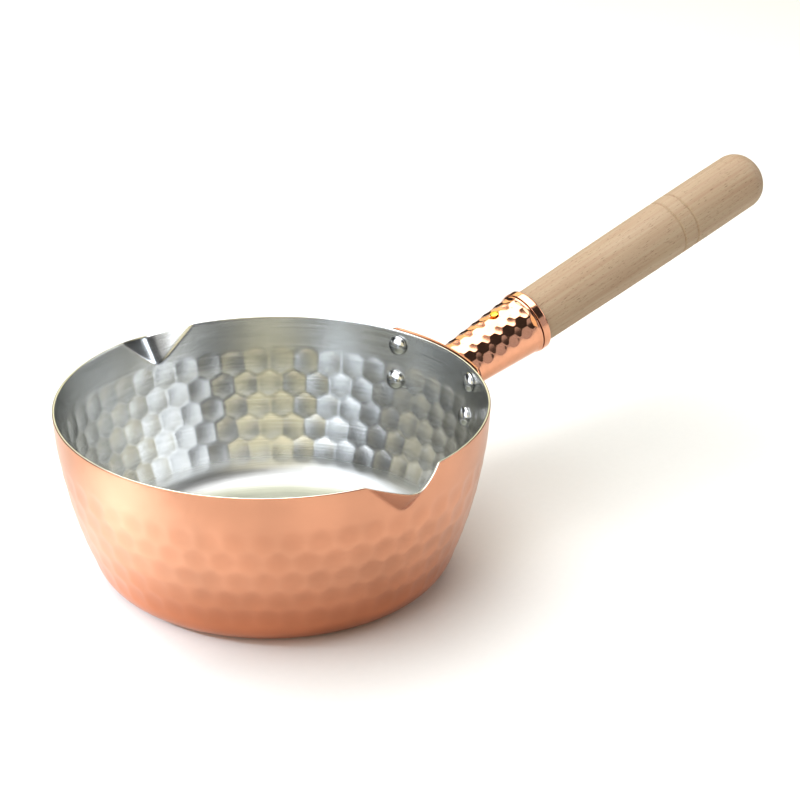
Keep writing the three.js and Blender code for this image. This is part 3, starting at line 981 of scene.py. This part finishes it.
class SAUCEPAN_OT_stage(bpy.types.Operator):
    """Lays the paper floor, hangs the lights and sets up the camera"""

    bl_idname = "saucepan.stage"
    bl_label = "Stage"

    def execute(self, context):
        scene = context.scene
        sizes = scene.saucepan_stage
        bm = bmesh.new()
        bmesh.ops.create_circle(bm, cap_ends=True, segments=96, radius=sizes.floor_radius)
        bmesh.ops.translate(bm, vec=(0, 0, -sizes.floor_drop), verts=bm.verts)
        mesh = bpy.data.meshes.new("paper_floor")
        bm.to_mesh(mesh)
        bm.free()
        mesh.materials.append(finish(studio_paper, scene))
        floor = bpy.data.objects.new("paper_floor", mesh)
        scene.collection.objects.link(floor)

        aim = Vector((sizes.aim_x, sizes.aim_y, scene.saucepan_pan.height / 2))
        flat = math.cos(sizes.pitch)
        look = Vector((
            flat * math.cos(sizes.heading), flat * math.sin(sizes.heading), -math.sin(sizes.pitch)
        ))
        camera = bpy.data.objects.new("camera", bpy.data.cameras.new("camera"))
        scene.collection.objects.link(camera)
        camera.location = aim - look * sizes.distance
        camera.rotation_euler = look.to_track_quat("-Z", "Y").to_euler()
        camera.data.lens = sizes.lens
        camera.data.sensor_width = 36
        scene.camera = camera

        for name, light in LIGHTS.items():
            add_soft_box(name, *light)
        world = bpy.data.worlds.new("studio")
        world.use_nodes = True
        background = world.node_tree.nodes["Background"]
        fill_inputs(world.node_tree, background, {"Color": WHITE, "Strength": sizes.glow})
        scene.world = world
        scene.view_settings.view_transform = "Standard"
        scene.view_settings.gamma = sizes.gamma
        return {"FINISHED"}


# ---- add-on -------------------------------------------------------------------------------


class SAUCEPAN_PT_panel(bpy.types.Panel):
    """Lists the saucepan's sizes, colours and steps"""

    bl_idname = "SAUCEPAN_PT_panel"
    bl_label = "Copper Saucepan"
    bl_space_type = "VIEW_3D"
    bl_region_type = "UI"
    bl_category = "Saucepan"

    def draw(self, context):
        layout = self.layout
        for operator in OPERATORS:
            layout.operator(operator.bl_idname)
        for name in GROUPS:
            group = getattr(context.scene, name)
            box = layout.box()
            for key in group.__annotations__:
                box.prop(group, key)


GROUPS = {
    "saucepan_pan": PanSizes,
    "saucepan_bracket": BracketSizes,
    "saucepan_handle": HandleSizes,
    "saucepan_colours": FinishColours,
    "saucepan_stage": StageSizes,
}
OPERATORS = (
    SAUCEPAN_OT_bowl,
    SAUCEPAN_OT_bracket,
    SAUCEPAN_OT_rivets,
    SAUCEPAN_OT_socket,
    SAUCEPAN_OT_collar,
    SAUCEPAN_OT_wood,
    SAUCEPAN_OT_screw,
    SAUCEPAN_OT_stage,
)


def register():
    for name, group in GROUPS.items():
        bpy.utils.register_class(group)
        setattr(bpy.types.Scene, name, PointerProperty(type=group))
    for operator in OPERATORS:
        bpy.utils.register_class(operator)
    bpy.utils.register_class(SAUCEPAN_PT_panel)


def unregister():
    bpy.utils.unregister_class(SAUCEPAN_PT_panel)
    for operator in reversed(OPERATORS):
        bpy.utils.unregister_class(operator)
    for name, group in GROUPS.items():
        delattr(bpy.types.Scene, name)
        bpy.utils.unregister_class(group)


def main():
    register()
    bpy.ops.saucepan.bowl()
    bpy.ops.saucepan.bracket()
    bpy.ops.saucepan.rivets()
    bpy.ops.saucepan.socket()
    bpy.ops.saucepan.collar()
    bpy.ops.saucepan.wood()
    bpy.ops.saucepan.screw()
    bpy.ops.saucepan.stage()


if __name__ == "__main__":
    main()
